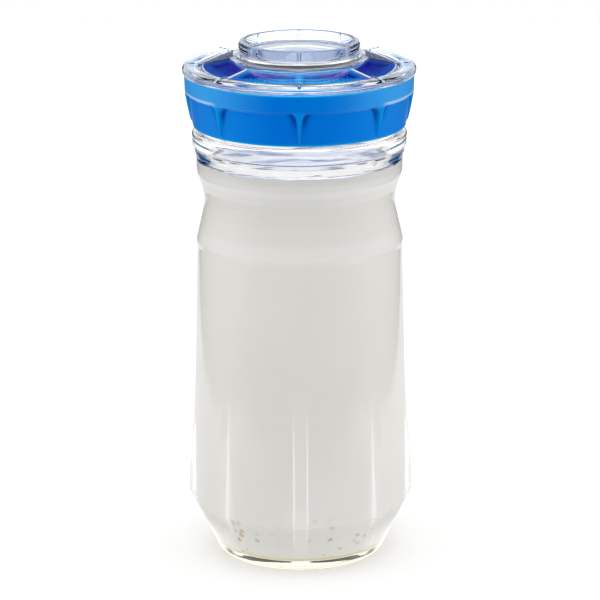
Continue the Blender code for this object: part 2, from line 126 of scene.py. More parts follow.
def newTree(name, inputs):
    # A Geometry Nodes tree with named inputs, and the wires of those inputs
    tree = bpy.data.node_groups.new(name, "GeometryNodeTree")
    for label, kind in inputs.items():
        tree.interface.new_socket(name=label, in_out="INPUT", socket_type="NodeSocket" + kind)
    tree.interface.new_socket(name="Geometry", in_out="OUTPUT", socket_type="NodeSocketGeometry")
    nodes = Nodes(tree)
    entry = tree.nodes.new("NodeGroupInput")
    return nodes, {label: Wire(nodes, entry.outputs[label]) for label in inputs}


creaseAngle = math.radians(38)  # edges that fold more than this stay sharp


def endTree(nodes, geometry, material):
    # Every tree ends smooth between its creases, in Realize Instances and Set Material
    fold = nodes.add("GeometryNodeInputMeshEdgeAngle", {}, {}, "Unsigned Angle")
    fold = fold.calc("GREATER_THAN", creaseAngle)
    geometry = nodes.add("GeometryNodeSetShadeSmooth", {"domain": "FACE"}, {"Geometry": geometry})
    values = {"Geometry": geometry, "Selection": fold, "Shade Smooth": False}
    geometry = nodes.add("GeometryNodeSetShadeSmooth", {"domain": "EDGE"}, values)
    geometry = nodes.add("GeometryNodeRealizeInstances", {}, {"Geometry": geometry})
    geometry = nodes.add("GeometryNodeSetMaterial", {}, {"Geometry": geometry, "Material": material})
    nodes.add("NodeGroupOutput", {}, {"Geometry": geometry})


def grow(source, nodes, values):
    # Runs a tree on an object and returns the result as a plain mesh
    holder = bpy.data.objects.new("holder", source)
    bpy.context.scene.collection.objects.link(holder)
    modifier = holder.modifiers.new("Shape", "NODES")
    modifier.node_group = nodes.tree
    for item in nodes.tree.interface.items_tree:
        if item.in_out == "INPUT" and item.name in values:
            modifier[item.identifier] = values[item.name]
    evaluated = holder.evaluated_get(bpy.context.evaluated_depsgraph_get())
    mesh = bpy.data.meshes.new_from_object(evaluated)
    bpy.data.objects.remove(holder)
    return mesh


# Turned pieces: an outline swept round Z, with a relief that repeats round it

# In mm, but arcStep and straight are angles, and arcShare is the share of a side that an arc may use
outlineFineness = {
    "round": 0.12, "arcStep": math.radians(15), "arcShare": 0.46, "straight": 0.01,
    "hold": 0.1, "longest": 1.2,
}


def roundedOutline(corners, closed, longest=outlineFineness["longest"]):
    # Corners are (radius, height, round) in mm. Returns points in mm, with extra ones beside each arc
    # and no stretch between them much longer than longest.
    points = []
    for i, corner in enumerate(corners):
        here = Vector(corner[:2])
        size = corner[2] if len(corner) > 2 else outlineFineness["round"]
        if not closed and i in (0, len(corners) - 1):
            points.append(here)
            continue
        back = Vector(corners[i - 1][:2]) - here
        ahead = Vector(corners[(i + 1) % len(corners)][:2]) - here
        turn = math.pi - back.angle(ahead)
        if turn < outlineFineness["straight"]:
            points.append(here)
            continue
        reach = min(size * math.tan(turn / 2), outlineFineness["arcShare"] * min(back.length, ahead.length))
        size = reach / math.tan(turn / 2)
        start = here + back.normalized() * reach
        end = here + ahead.normalized() * reach
        inward = (back.normalized() + ahead.normalized()).normalized()
        middle = here + inward * size / math.cos(turn / 2)
        steps = max(2, math.ceil(turn / outlineFineness["arcStep"]))
        for k in range(steps + 1):
            spoke = (start - middle).normalized().slerp((end - middle).normalized(), k / steps)
            points.append(middle + spoke * size)
    if closed:
        points.append(points[0].copy())
    filled = [points[0]]
    hold = outlineFineness["hold"]
    for a, b in zip(points, points[1:]):
        length = (b - a).length
        if length > 4 * hold:
            between = length - 2 * hold
            inner = math.ceil(between / longest)
            shares = [hold / length]
            shares += [(hold + between * k / inner) / length for k in range(1, inner)]
            shares.append(1 - hold / length)
            filled += [a.lerp(b, share) for share in shares]
        filled.append(b)
    return filled


def along(table, place):
    # Value at a place of a table of (place, value) rows in rising order, 0 outside it
    for (a, low), (b, high) in zip(table, table[1:]):
        if a <= place <= b:
            return low + (high - low) * (place - a) / (b - a)
    return 0.0


turnedNodes, turnedInput = newTree("turned relief", {
    "Outline": "Geometry", "Segments": "Int", "Repeats": "Int", "Crowding": "Float", "Edge": "Float",
    "Thread Pitch": "Float", "Thread Width": "Float", "Thread Start": "Float", "Material": "Material",
    "Ripple Scale": "Float", "Flat Start": "Float", "Flat Slope": "Float",
    "Scoop Reach": "Float", "Scoop Depth": "Float"})
tiny = 1e-6  # m, the least width that anything is divided by
threadFlank = (0.45, 1.0)  # shares of the thread's half width between which its side falls


def buildTurnedTree(nodes, given):
    # A grid with a row for each point of the outline and a column for each step round Z
    outline = {"Geometry": given["Outline"]}
    rows = nodes.add("GeometryNodeAttributeDomainSize", {"component": "MESH"}, outline)
    columns = given["Segments"] + 1
    grid = nodes.add("GeometryNodeMeshGrid", {}, {"Vertices X": columns, "Vertices Y": rows})
    index = nodes.add("GeometryNodeInputIndex")
    row = index % rows
    column = ((index - row) / rows + 0.5).calc("FLOOR")
    spread = column / given["Segments"]

    def sampled(kind, field):
        values = {"Geometry": given["Outline"], "Value": field, "Index": row}
        return nodes.add("GeometryNodeSampleIndex", {"data_type": kind}, values, "Value")

    def stored(name):
        settings = {"data_type": "FLOAT"}
        field = nodes.add("GeometryNodeInputNamedAttribute", settings, {"Name": name}, "Attribute")
        return sampled("FLOAT", field)

    place = sampled("FLOAT_VECTOR", nodes.add("GeometryNodeInputPosition"))
    radius = nodes.axis(place, "X")
    height = nodes.axis(place, "Z")
    # Columns crowd towards the middle of each repeat, where the relief is
    share = spread * given["Repeats"]
    share = share - given["Crowding"] * (share * math.tau).calc("SINE") / math.tau
    angle = share / given["Repeats"] * math.tau - math.pi / 2
    # Angle from the nearest middle of a repeat, and what the relief covers on both sides of it
    offMiddle = ((share + 0.5) % 1.0 - 0.5).calc("ABSOLUTE") / given["Repeats"] * math.tau
    width = stored("reliefWidth").calc("MAXIMUM", tiny)
    covered = 1 - nodes.step(offMiddle * radius / width, 1 - given["Edge"], 1 + given["Edge"])
    # Flats that meet where the repeats have their middles
    half = math.pi / given["Repeats"]
    bulge = (half - offMiddle).calc("COSINE") / half.calc("COSINE")
    flattened = radius * (1 + stored("flatPull") * (1 / bulge - 1))
    steeper = (flattened * bulge - given["Flat Start"]).calc("MAXIMUM", 0.0)
    steeper = steeper - (radius - given["Flat Start"]).calc("MAXIMUM", 0.0)
    height = height - stored("flatDrop") * given["Flat Slope"] * steeper + stored("lift") * covered
    # A thread, whose height climbs one pitch in each turn
    turn = (height - given["Thread Start"]) / given["Thread Pitch"] - angle / math.tau
    rise = ((turn + 0.5) % 1.0 - 0.5).calc("ABSOLUTE") * given["Thread Pitch"] / given["Thread Width"]
    thread = stored("thread") * (1 - nodes.step(rise, *threadFlank))
    # A scoop that is deepest beside the relief
    beside = (offMiddle * radius - width) / given["Scoop Reach"].calc("MAXIMUM", tiny)
    shade = stored("scoop") * (1 - nodes.step(beside, 0.0, 1.0)) * (1 - covered)
    reach = flattened + stored("relief") * covered + thread - shade * given["Scoop Depth"]
    values = {"X": reach * angle.calc("COSINE"), "Y": reach * angle.calc("SINE"), "Z": height}
    spot = nodes.add("ShaderNodeCombineXYZ", {}, values)
    ripple = (nodes.noise(spot, given["Ripple Scale"], detail=2.0) - 0.5) * stored("ripple")
    offset = nodes.add("ShaderNodeCombineXYZ", {}, {"Z": ripple})
    spot = nodes.add("ShaderNodeVectorMath", {"operation": "ADD"}, {0: spot, 1: offset})
    shape = nodes.add("GeometryNodeSetPosition", {}, {"Geometry": grid, "Position": spot})
    # The scoop's share is kept on the mesh as shade, and the crest rows under the relief as crest, for the
    # materials to paint shade and light with
    for name, value in (("shade", shade), ("crest", stored("crest") * covered)):
        settings = {"data_type": "FLOAT", "domain": "POINT"}
        values = {"Geometry": shape, "Name": name, "Value": value}
        shape = nodes.add("GeometryNodeStoreNamedAttribute", settings, values)
    shape = nodes.add("GeometryNodeMergeByDistance", {}, {"Geometry": shape, "Distance": 2 * tiny})
    endTree(nodes, shape, given["Material"])


buildTurnedTree(turnedNodes, turnedInput)


def always(value):
    # Every rule takes the radius and the height of a point of the outline, and this one heeds neither
    return lambda radius, height: value


def beyond(least, table):
    # A rule that reads a table by height, and gives 0 where the radius is below least
    return lambda radius, height: along(table, height) if radius > least else 0.0


def within(value, limits):
    return limits[0] < value < limits[1]


# What a turned piece has when nothing else is said, in mm
noThread = {"pitch": 4, "width": 1, "start": 0, "depth": always(0)}
noRipple = {"scale": 1.0, "depth": always(0)}
noFlats = {"start": 0, "slope": 0.0, "rows": always((0, 0))}
noScoop = {"reach": 0, "depth": 0, "share": always(0), "crest": always(0)}


def turned(corners, material, closed=True, segments=256, repeats=8, crowding=0.0, edge=0.4,
           longest=outlineFineness["longest"], relief=always((0, 0, 1)), thread=noThread,
           ripple=noRipple, flats=noFlats, scoop=noScoop):
    # relief gives (outwards, upwards, half width), and flats' rows give (share drawn in, share dropped)
    points = roundedOutline(corners, closed, longest)
    source = bpy.data.meshes.new("outline")
    spots = [(p.x * mm, 0, p.y * mm) for p in points]
    source.from_pydata(spots, [(i, i + 1) for i in range(len(points) - 1)], [])
    proud = [relief(p.x, p.y) for p in points]
    flatten = [flats["rows"](p.x, p.y) for p in points]
    fields = {
        "relief": [outwardsBy * mm for outwardsBy, _, _ in proud],
        "lift": [upwardsBy * mm for _, upwardsBy, _ in proud],
        "reliefWidth": [halfWidth * mm for _, _, halfWidth in proud],
        "scoop": [scoop["share"](p.x, p.y) for p in points],
        "crest": [scoop["crest"](p.x, p.y) for p in points],
        "flatPull": [pull for pull, _ in flatten],
        "flatDrop": [drop for _, drop in flatten],
        "thread": [thread["depth"](p.x, p.y) * mm for p in points],
        "ripple": [ripple["depth"](p.x, p.y) * mm for p in points],
    }
    for name, values in fields.items():
        source.attributes.new(name, "FLOAT", "POINT").data.foreach_set("value", values)
    mesh = grow(source, turnedNodes, {
        "Segments": segments, "Repeats": repeats, "Crowding": crowding, "Edge": edge,
        "Thread Pitch": thread["pitch"] * mm, "Thread Width": thread["width"] * mm,
        "Thread Start": thread["start"] * mm, "Ripple Scale": ripple["scale"],
        "Flat Start": flats["start"] * mm, "Flat Slope": flats["slope"],
        "Scoop Reach": scoop["reach"] * mm, "Scoop Depth": scoop["depth"] * mm,
        "Material": material})
    bpy.data.meshes.remove(source)
    return outwards(mesh)


slotNodes, slotInput = newTree("slots", {
    "Shell": "Geometry", "Groups": "Int", "Slots": "Int", "Spread": "Float",
    "Inner": "Float", "Outer": "Float", "Width": "Float", "Low": "Float", "High": "Float",
    "Material": "Material"})


def buildSlotTree(nodes, given):
    # Straight slots cut through a shell, in groups that lie evenly round Z with none at the front
    line = nodes.add("GeometryNodeMeshLine", {}, {"Count": given["Groups"] * given["Slots"]})
    index = nodes.add("GeometryNodeInputIndex")
    inGroup = index % given["Slots"]
    group = ((index - inGroup) / given["Slots"] + 0.5).calc("FLOOR")
    middle = (group + 0.5) / given["Groups"] * math.tau - math.pi / 2
    angle = middle + given["Spread"] * (inGroup / (given["Slots"] - 1).calc("MAXIMUM", 1.0) * 2 - 1)
    radius = (given["Inner"] + given["Outer"]) / 2
    values = {"X": radius * angle.calc("COSINE"), "Y": radius * angle.calc("SINE"),
              "Z": (given["Low"] + given["High"]) / 2}
    spot = nodes.add("ShaderNodeCombineXYZ", {}, values)
    points = nodes.add("GeometryNodeSetPosition", {}, {"Geometry": line, "Position": spot})
    values = {"X": given["Outer"] - given["Inner"], "Y": given["Width"], "Z": given["High"] - given["Low"]}
    size = nodes.add("ShaderNodeCombineXYZ", {}, values)
    cutter = nodes.add("GeometryNodeMeshCube", {}, {"Size": size})
    turn = nodes.add("ShaderNodeCombineXYZ", {}, {"Z": angle})
    values = {"Points": points, "Instance": cutter, "Rotation": turn}
    cutters = nodes.add("GeometryNodeInstanceOnPoints", {}, values)
    cutters = nodes.add("GeometryNodeRealizeInstances", {}, {"Geometry": cutters})
    settings = {"operation": "DIFFERENCE", "solver": "EXACT"}
    values = {"Mesh 1": given["Shell"], "Mesh 2": cutters}
    cut = nodes.add("GeometryNodeMeshBoolean", settings, values, "Mesh")
    endTree(nodes, cut, given["Material"])


buildSlotTree(slotNodes, slotInput)


def slotted(shell, material, sizes):
    mesh = grow(shell, slotNodes, {
        "Groups": sizes["groups"], "Slots": sizes["slots"], "Spread": sizes["spread"],
        "Inner": sizes["inner"] * mm, "Outer": sizes["outer"] * mm, "Width": sizes["width"] * mm,
        "Low": sizes["low"] * mm, "High": sizes["high"] * mm, "Material": material})
    bpy.data.meshes.remove(shell)
    return mesh


def outwards(mesh):
    # Turns a closed shell right side out
    mesh.calc_loop_triangles()
    spots = [v.co for v in mesh.vertices]
    triangles = (t.vertices for t in mesh.loop_triangles)
    volume = sum(spots[a].dot(spots[b].cross(spots[c])) for a, b, c in triangles)
    if volume < 0:
        mesh.flip_normals()
    return mesh


def addPiece(name, mesh, body, node):
    piece = bpy.data.objects.new(name, mesh)
    mesh.name = name
    bpy.context.scene.collection.objects.link(piece)
    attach(piece, body)
    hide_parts(node)


# Materials

trappedAfter = 2.5  # mirrorings inside a clear wall after which light is let out
white = (1, 1, 1, 1)


def newMaterial(name):
    material = bpy.data.materials.new(name)
    material.use_nodes = True
    material.node_tree.nodes.clear()
    nodes = Nodes(material.node_tree)
    return material, nodes, nodes.add("ShaderNodeTexCoord", {}, {}, "Object")


def surface(nodes, sockets, bump, strength, distance):
    values = {"Height": bump, "Strength": strength, "Distance": distance}
    normal = nodes.add("ShaderNodeBump", {}, values)
    return nodes.add("ShaderNodeBsdfPrincipled", {}, {**sockets, "Normal": normal})


def isTrapped(nodes):
    return nodes.add("ShaderNodeLightPath", {}, {}, "Glossy Depth").calc("GREATER_THAN", trappedAfter)


def clearMaterial(name, sizes):
    # Clear glass or plastic, which lets the lamps through to what is inside
    material, nodes, place = newMaterial(name)
    waves = nodes.noise(place, sizes["waveScale"], detail=2.0)
    smears = nodes.noise(place, sizes["smearScale"], detail=4.0, roughness=0.6)
    smears = nodes.step(smears, *sizes["smearSpan"])
    shader = surface(nodes, {
        "Base Color": (*sizes["tint"], 1),
        "Roughness": smears * sizes["smearRoughness"] + sizes["roughness"],
        "IOR": sizes["ior"],
        "Transmission Weight": 1.0,
    }, waves, sizes["waveStrength"], sizes["waveDepth"])
    if "glint" in sizes:
        # A painted highlight: white emission along the pressed ribs' rounded sides, as narrow lines
        covered = nodes.painted("crest")
        height = nodes.axis(place, "Z")
        lit = nodes.step(height, *sizes["glintFoot"]) * (1 - nodes.step(height, *sizes["glintTop"]))
        lit = lit * nodes.step(covered * (1 - covered), *sizes["glintSide"]) * sizes["glint"]
        glint = nodes.add("ShaderNodeEmission", {}, {"Color": white, "Strength": 1.0})
        shader = nodes.add("ShaderNodeMixShader", {}, {0: lit, 1: shader, 2: glint})
    isShadow = nodes.add("ShaderNodeLightPath", {}, {}, "Is Shadow Ray")
    passes = isShadow.calc("MAXIMUM", isTrapped(nodes))
    through = nodes.add("ShaderNodeBsdfTransparent", {}, {"Color": (*sizes["shadow"], 1)})
    mixed = nodes.add("ShaderNodeMixShader", {}, {0: passes, 1: shader, 2: through})
    nodes.add("ShaderNodeOutputMaterial", {}, {"Surface": mixed})
    return material


glassLook = {
    "tint": (0.992, 0.99, 0.984), "shadow": (0.878, 0.873, 0.862), "ior": 1.5, "roughness": 0.0,
    "smearRoughness": 0.02, "smearScale": 40.0, "smearSpan": (0.45, 0.8),
    "waveScale": 55.0, "waveStrength": 0.25, "waveDepth": 0.0006,
    "glint": 0.6, "glintSide": (0.06, 0.24), "glintFoot": (0.010, 0.030), "glintTop": (0.060, 0.095),
}
plasticLook = {
    "tint": (0.97, 0.985, 0.995), "shadow": (0.93, 0.95, 0.96), "ior": 1.49, "roughness": 0.0,
    "smearRoughness": 0.015, "smearScale": 60.0, "smearSpan": (0.45, 0.8),
    "waveScale": 120.0, "waveStrength": 0.03, "waveDepth": 0.0004,
}
glass = clearMaterial("clear glass", glassLook)
clearPlastic = clearMaterial("clear plastic", plasticLook)


def bluePlasticMaterial(name, sizes):
    # Satin moulded plastic: a faint mottle in colour and gloss, a fine grain, painted shade in the hollows,
    # painted highlights on edges and crests, and sides painted in colours of their own as light falls on them
    material, nodes, place = newMaterial(name)
    mottle = nodes.noise(place, sizes["mottleScale"])
    grain = nodes.noise(place, sizes["grainScale"], detail=2.0, roughness=0.7)
    side = nodes.axis(place, "X").calc("ABSOLUTE")
    depth = nodes.axis(place, "Y")
    height = nodes.axis(place, "Z")
    colour = nodes.mix(nodes.step(mottle, *sizes["mottleSpan"]), sizes["dark"], sizes["colour"])
    # Painted light and shade: both sides have a colour of their own below the band's foot and another above
    # it, lighter and more cyan on the ring as side light makes it, darker on the strainer
    sideColour = nodes.mix(nodes.step(height, *sizes["bandFoot"]), sizes["side"], sizes["bandSide"])
    colour = nodes.mix(nodes.step(side, *sizes["sideReach"]), colour, sideColour)
    # Painted highlights: the edge colour at the band's top edge and the ring's foot, fading away from them
    for near, far in sizes["edges"]:
        sign = 1 if far > near else -1
        fade = nodes.step(height * sign, near * sign, far * sign)
        colour = nodes.mix(fade, sizes["edge"], colour)
    if "ledgeHighlight" in sizes:
        # A painted highlight: the ledge under the band is painted as shining at both sides
        away = (height - sizes["ledgeHighlight"]).calc("ABSOLUTE")
        ledgeHighlight = (1 - nodes.step(away, *sizes["streakFade"])) * nodes.step(side, *sizes["streakSide"])
        colour = nodes.mix(ledgeHighlight, colour, sizes["ledgeHighlightColour"])
    # A painted highlight along the fins' crests
    colour = nodes.mix(nodes.painted("crest"), colour, sizes["edge"])
    # Painted shade: hollows are painted dark, less so at the front, where front is above 0
    shade = nodes.painted("shade") * (1 - nodes.step(depth * -1, *sizes["frontReach"]) * sizes["front"])
    colour = nodes.mix(nodes.step(shade, 0.0, 1.0), colour, sizes["hollowShade"])
    shader = surface(nodes, {
        "Base Color": colour,
        "Roughness": mottle * sizes["mottleGloss"] + (sizes["roughness"] - sizes["mottleGloss"] / 2),
        "IOR": sizes["ior"],
        "Specular IOR Level": sizes["specular"],
        "Specular Tint": (*sizes["tint"], 1),
    }, grain, sizes["grainStrength"], sizes["grainDepth"])
    nodes.add("ShaderNodeOutputMaterial", {}, {"Surface": shader})
    return material


mouldedLook = {
    "mottleScale": 60.0, "mottleSpan": (0.3, 0.7), "mottleGloss": 0.08,
    "grainScale": 2600.0, "grainStrength": 0.05, "grainDepth": 0.0001, "frontReach": (0.027, 0.034),
}
# The ring's lighter edge, side and ledge colours are painted light, and its hollow colour is painted shade
ringLook = {
    **mouldedLook, "colour": (0.0, 0.142, 0.66), "dark": (0.0, 0.128, 0.64), "hollowShade": (0.0, 0.004, 0.30),
    "edge": (0.0, 0.30, 0.74), "edges": [(0.2110, 0.2124), (0.2352, 0.2341)],
    "roughness": 0.30, "ior": 1.7, "specular": 0.5, "tint": (0.0, 0.9, 0.65), "front": 0.0,
    "side": (0.0, 0.20, 0.72), "sideReach": (0.008, 0.050),
    "bandSide": (0.035, 0.31, 0.76), "bandFoot": (0.2262, 0.2275),
    "ledgeHighlight": 0.2276, "streakFade": (0.0006, 0.0012), "streakSide": (0.0375, 0.0415),
    "ledgeHighlightColour": (0.32, 0.52, 0.86),
}
# The strainer's blue is painted much brighter than the ring's, standing in for the light it loses under the
# cover
insertLook = {
    **mouldedLook, "colour": (0.0, 0.42, 0.95), "dark": (0.0, 0.36, 0.90), "hollowShade": (0.0, 0.012, 0.58),
    "edge": (0.0, 0.45, 0.95), "edges": [],
    "roughness": 0.4, "ior": 1.49, "specular": 0.03, "tint": (0, 0.6, 1), "front": 0.75,
    "side": (0.0, 0.10, 0.66), "sideReach": (0.016, 0.034),
    "bandSide": (0.0, 0.10, 0.66), "bandFoot": (0.2, 0.3),
}
# The squeezer cup's blue is painted pale, as if lit, because it sits in shade under the cap
cupLook = {
    **insertLook, "colour": (0.46, 0.60, 0.88), "dark": (0.41, 0.56, 0.86), "side": (0.44, 0.58, 0.87),
}
blueRing = bluePlasticMaterial("blue plastic", ringLook)
blueStrainer = bluePlasticMaterial("blue plastic inner", insertLook)
blueCup = bluePlasticMaterial("blue plastic cup", cupLook)


def kefirMaterial(name, sizes):
    # Cultured milk: slow drifts of tone, fine curds, and yellow grains that settle at the bottom
    material, nodes, place = newMaterial(name)
    height = nodes.axis(place, "Z")
    drift = nodes.noise(place, sizes["driftScale"], detail=2.0)
    curds = nodes.noise(place, sizes["curdScale"], roughness=0.6)
    cloud = nodes.noise(place, sizes["cloudScale"], detail=1.0)
    cells = {"Vector": place, "Scale": sizes["grainScale"]}
    core = nodes.add("ShaderNodeTexVoronoi", {}, cells, "Distance")
    core = core + curds * sizes["grainRough"] - sizes["grainRough"] / 2
    chance = nodes.axis(nodes.add("ShaderNodeTexVoronoi", {}, cells, "Color"), "X")
    grains = (1 - nodes.step(core, *sizes["grainCore"])) * nodes.step(chance, *sizes["grainChance"])
    grains = grains * nodes.step(cloud, *sizes["grainCloud"])
    grains = grains * (1 - nodes.step(height, *sizes["grainTop"])) * sizes["grainShare"]
    milk = nodes.mix(nodes.step(drift, *sizes["driftSpan"]), sizes["shade"], sizes["white"])
    # Painted light: lighter bands round the milk at the heights where light bent by the glass's ridges
    # brightens it
    for middle, half in sizes["bands"]:
        away = (height - middle).calc("ABSOLUTE")
        band = 1 - nodes.step(away, half * sizes["bandCore"], half)
        milk = nodes.mix(band, milk, sizes["bandWhite"])
    # Near the foot the milk turns olive, and there it glows faintly, a painted light
    aboveFoot = nodes.step(height, *sizes["footBand"])
    milk = nodes.mix(1 - aboveFoot, milk, sizes["footColour"])
    # Painted light: the milk's surface glows, broken in slow waves by painted blue-grey reflections, and its
    # foot glows too
    onTop = nodes.painted("crest")
    waves = nodes.add("ShaderNodeMapping", {}, {"Vector": place, "Scale": sizes["waveScale"]})
    waves = nodes.step(nodes.noise(waves, 1.0, detail=2.0), *sizes["waveSpan"])
    glow = nodes.mix(onTop, (0, 0, 0), nodes.mix(waves, sizes["wave"], sizes["glow"]))
    glow = nodes.mix(aboveFoot, sizes["footGlow"], glow)
    glow = nodes.mix(nodes.step(height, *sizes["floor"]), sizes["floorGlow"], glow)
    shader = surface(nodes, {
        "Base Color": nodes.mix(grains, milk, sizes["grain"]),
        "Roughness": curds * sizes["curdGloss"] + (sizes["roughness"] - sizes["curdGloss"] / 2)
        - onTop * sizes["wet"],
        "Emission Color": glow,
        "Emission Strength": 1.0,
        "IOR": sizes["ior"],
    }, curds, sizes["curdStrength"], sizes["curdDepth"])
    nodes.add("ShaderNodeOutputMaterial", {}, {"Surface": shader})
    return material


kefirWhite = kefirMaterial("kefir", {
    "white": (0.93, 0.92, 0.892), "shade": (0.915, 0.902, 0.870),
    "driftScale": 14.0, "driftSpan": (0.35, 0.65),
    "curdScale": 420.0, "curdGloss": 0.2, "curdStrength": 0.12, "curdDepth": 0.0002,
    "grain": (0.50, 0.34, 0.10), "grainScale": 260.0, "grainRough": 0.7, "grainCore": (0.2, 0.5),
    "grainChance": (0.45, 0.6), "grainCloud": (0.50, 0.57), "cloudScale": 60.0,
    "grainTop": (0.0102, 0.034), "grainShare": 0.8,
    "bands": [(0.1585, 0.005), (0.1870, 0.0022)], "bandCore": 0.3, "bandWhite": (0.95, 0.945, 0.925),
    "footBand": (0.0060, 0.0076), "footColour": (0.50, 0.46, 0.26), "footGlow": (0.13, 0.12, 0.05),
    "floor": (0.0051, 0.0054), "floorGlow": (0.62, 0.62, 0.59),
    "wave": (0.07, 0.11, 0.20), "glow": (0.50, 0.50, 0.50), "waveScale": (38.0, 95.0, 1.0),
    "waveSpan": (0.40, 0.52), "roughness": 0.40, "wet": 0.30, "ior": 1.35,
})


def rubberMaterial(name, sizes):
    # Moulded rubber or silicone with a matt grain
    material, nodes, place = newMaterial(name)
    grain = nodes.noise(place, sizes["grainScale"], roughness=0.7)
    darker = tuple(sizes["darker"] * c for c in sizes["colour"])
    shader = surface(nodes, {
        "Base Color": nodes.mix(grain, darker, sizes["colour"]),
        "Roughness": grain * sizes["grainGloss"] + sizes["roughness"],
    }, grain, sizes["grainStrength"], sizes["grainDepth"])
    nodes.add("ShaderNodeOutputMaterial", {}, {"Surface": shader})
    return material


siliconeLook = {
    "colour": (0.80, 0.80, 0.78), "darker": 0.85, "roughness": 0.45,
    "grainScale": 900.0, "grainGloss": 0.15, "grainStrength": 0.1, "grainDepth": 0.0001,
}
silicone = rubberMaterial("silicone", siliconeLook)
darkRingShade = rubberMaterial("dark ring shade", {
    **siliconeLook, "colour": (0.012, 0.012, 0.016), "roughness": 0.35})
print("materials made")


# Glass jar, turned in one shell with eight grip ribs and a thread on its neck

jar = {
    "outside": [
        (40.2, 0, 2.2), (51.75, 25.2, 11), (51.3, 70.8, 20), (49.1, 153.0, 4), (49.5, 155.6, 0.8),
        (45.2, 173.9, 14), (46.3, 181.2, 5), (49.1, 189, 5), (49.1, 196.2, 4), (49.9, 199.3, 2),
        (49.9, 201.6, 0.6), (50.9, 202.2, 1.4), (50.9, 208.4, 2.1), (46.9, 208.7, 0.5), (46.9, 229, 1.5)],
    "inside": [
        (43.0, 229, 1.5), (43.0, 200, 5), (46.1, 190.7, 5), (42.2, 173.9, 14), (46.5, 155.6, 8),
        (48.3, 70.8, 20), (48.75, 25.2, 11), (38.8, 5.0, 9.0), (0, 5.0)],
    "foot": [(0, 2), (31, 2, 1.5), (33, 0, 1)],
    "ribCrest": [(41.8, 0.8), (54.75, 28.8, 9), (51.6, 72.0, 9), (50.5, 97.0)],
    "ribWidth": 6.2, "ribFade": 22.0, "ribTop": 98, "ribLeastRadius": 39, "leastWall": 1.5,
}
neckThread = {
    "pitch": 4.0, "width": 1.1, "start": 211.5,
    "depth": beyond(45, [(210.5, 0), (212, 1.35), (224, 1.35), (226, 0)])}


def heightTable(corners):
    # A rounded outline as rows of (height, radius)
    return [(p.y, p.x) for p in roundedOutline(corners, False)]


ribCrest = heightTable(jar["ribCrest"])
jarInside = sorted(heightTable(jar["inside"]))


def jarRelief(radius, height):
    # The ribs fill up what is missing between the jar's outside and their crest, and fade into the foot
    outside = radius > jar["ribLeastRadius"] and radius > along(jarInside, height) + jar["leastWall"]
    if not outside or height >= jar["ribTop"]:
        return 0, 0, jar["ribWidth"] / 2
    proud = (along(ribCrest, height) - radius) * min(1.0, height / jar["ribFade"]) ** 2
    return max(0.0, proud), 0, jar["ribWidth"] / 2


# The rib rows, along whose sides the glass paints a highlight
def jarCrest(radius, height):
    return 1 if jarRelief(radius, height)[0] > 0 else 0


jarMesh = turned(
    jar["foot"] + jar["outside"] + jar["inside"], glass, closed=False, segments=312, crowding=0.75,
    edge=0.14, longest=5, relief=jarRelief, thread=neckThread, scoop={**noScoop, "crest": jarCrest})
addPiece("glassJar", jarMesh, "jar", "glass_jar")
print("glass jar made")


# Kefir, which meets the glass and climbs a little at its edge

kefir = {
    "level": 193.0, "meniscus": 1.6, "meniscusWidth": 2.5, "meniscusRound": 3, "overlap": 0.06,
    "rippleScale": 70.0, "rippleDepth": 1.8, "rippleBelow": 0.8, "glowBelow": 0.1, "glowMargin": 2,
}
kefirSide = [
    (radius + kefir["overlap"], height - kefir["overlap"], *size) for radius, height, *size in jar["inside"]]
levelRadius = along(sorted(heightTable(kefirSide)), kefir["level"])
kefirSide = [corner for corner in kefirSide if corner[1] < kefir["level"]]
kefirSide[-1] = (0, kefirSide[-1][1])
kefirTop = [
    (0, kefir["level"]), (levelRadius - kefir["meniscusWidth"], kefir["level"], kefir["meniscusRound"]),
    (levelRadius, kefir["level"] + kefir["meniscus"])]


def kefirRipple(radius, height):
    return kefir["rippleDepth"] if height > kefir["level"] - kefir["rippleBelow"] else 0


def kefirGlow(radius, height):
    onTop = height > kefir["level"] - kefir["glowBelow"]
    return 1 if onTop and radius < levelRadius - kefir["glowMargin"] else 0


# A relief that is wider than the piece and stands 0 proud lets the glow reach all round
kefirMesh = turned(
    kefirTop + kefirSide, kefirWhite, closed=False, segments=192, relief=always((0, 0, 1000)),
    ripple={"scale": kefir["rippleScale"], "depth": kefirRipple}, scoop={**noScoop, "crest": kefirGlow})
addPiece("kefirFill", kefirMesh, "jar", "kefir_fill")


# Seals, and a dark ring under the cap

jarSeal = {"inner": 43.6, "outer": 47.5, "low": 229.3, "high": 230.8, "round": 0.4}
capDarkRing = {"radius": 26.85, "height": 243.66, "thick": 1.22}  # thick is its section's radius
sealCorners = [
    (jarSeal[side], jarSeal[end], jarSeal["round"])
    for side, end in (("inner", "low"), ("inner", "high"), ("outer", "high"), ("outer", "low"))]
addPiece("jarSeal", turned(sealCorners, silicone), "seal", "jar_seal")
# A black ring under the cap's flange, standing in for the dark line of refraction in the clear plastic there:
# a painted shade
sealCorners = [
    (capDarkRing["radius"] + capDarkRing["thick"] * x, capDarkRing["height"] + capDarkRing["thick"] * z, capDarkRing["thick"])
    for x, z in ((1, 1), (1, -1), (-1, -1), (-1, 1))]
addPiece("capDarkRing", turned(sealCorners, darkRingShade), "cap_ring_seal", "cap_seal")


# Screw ring: a plain band above, and eight fins between hollowed panels

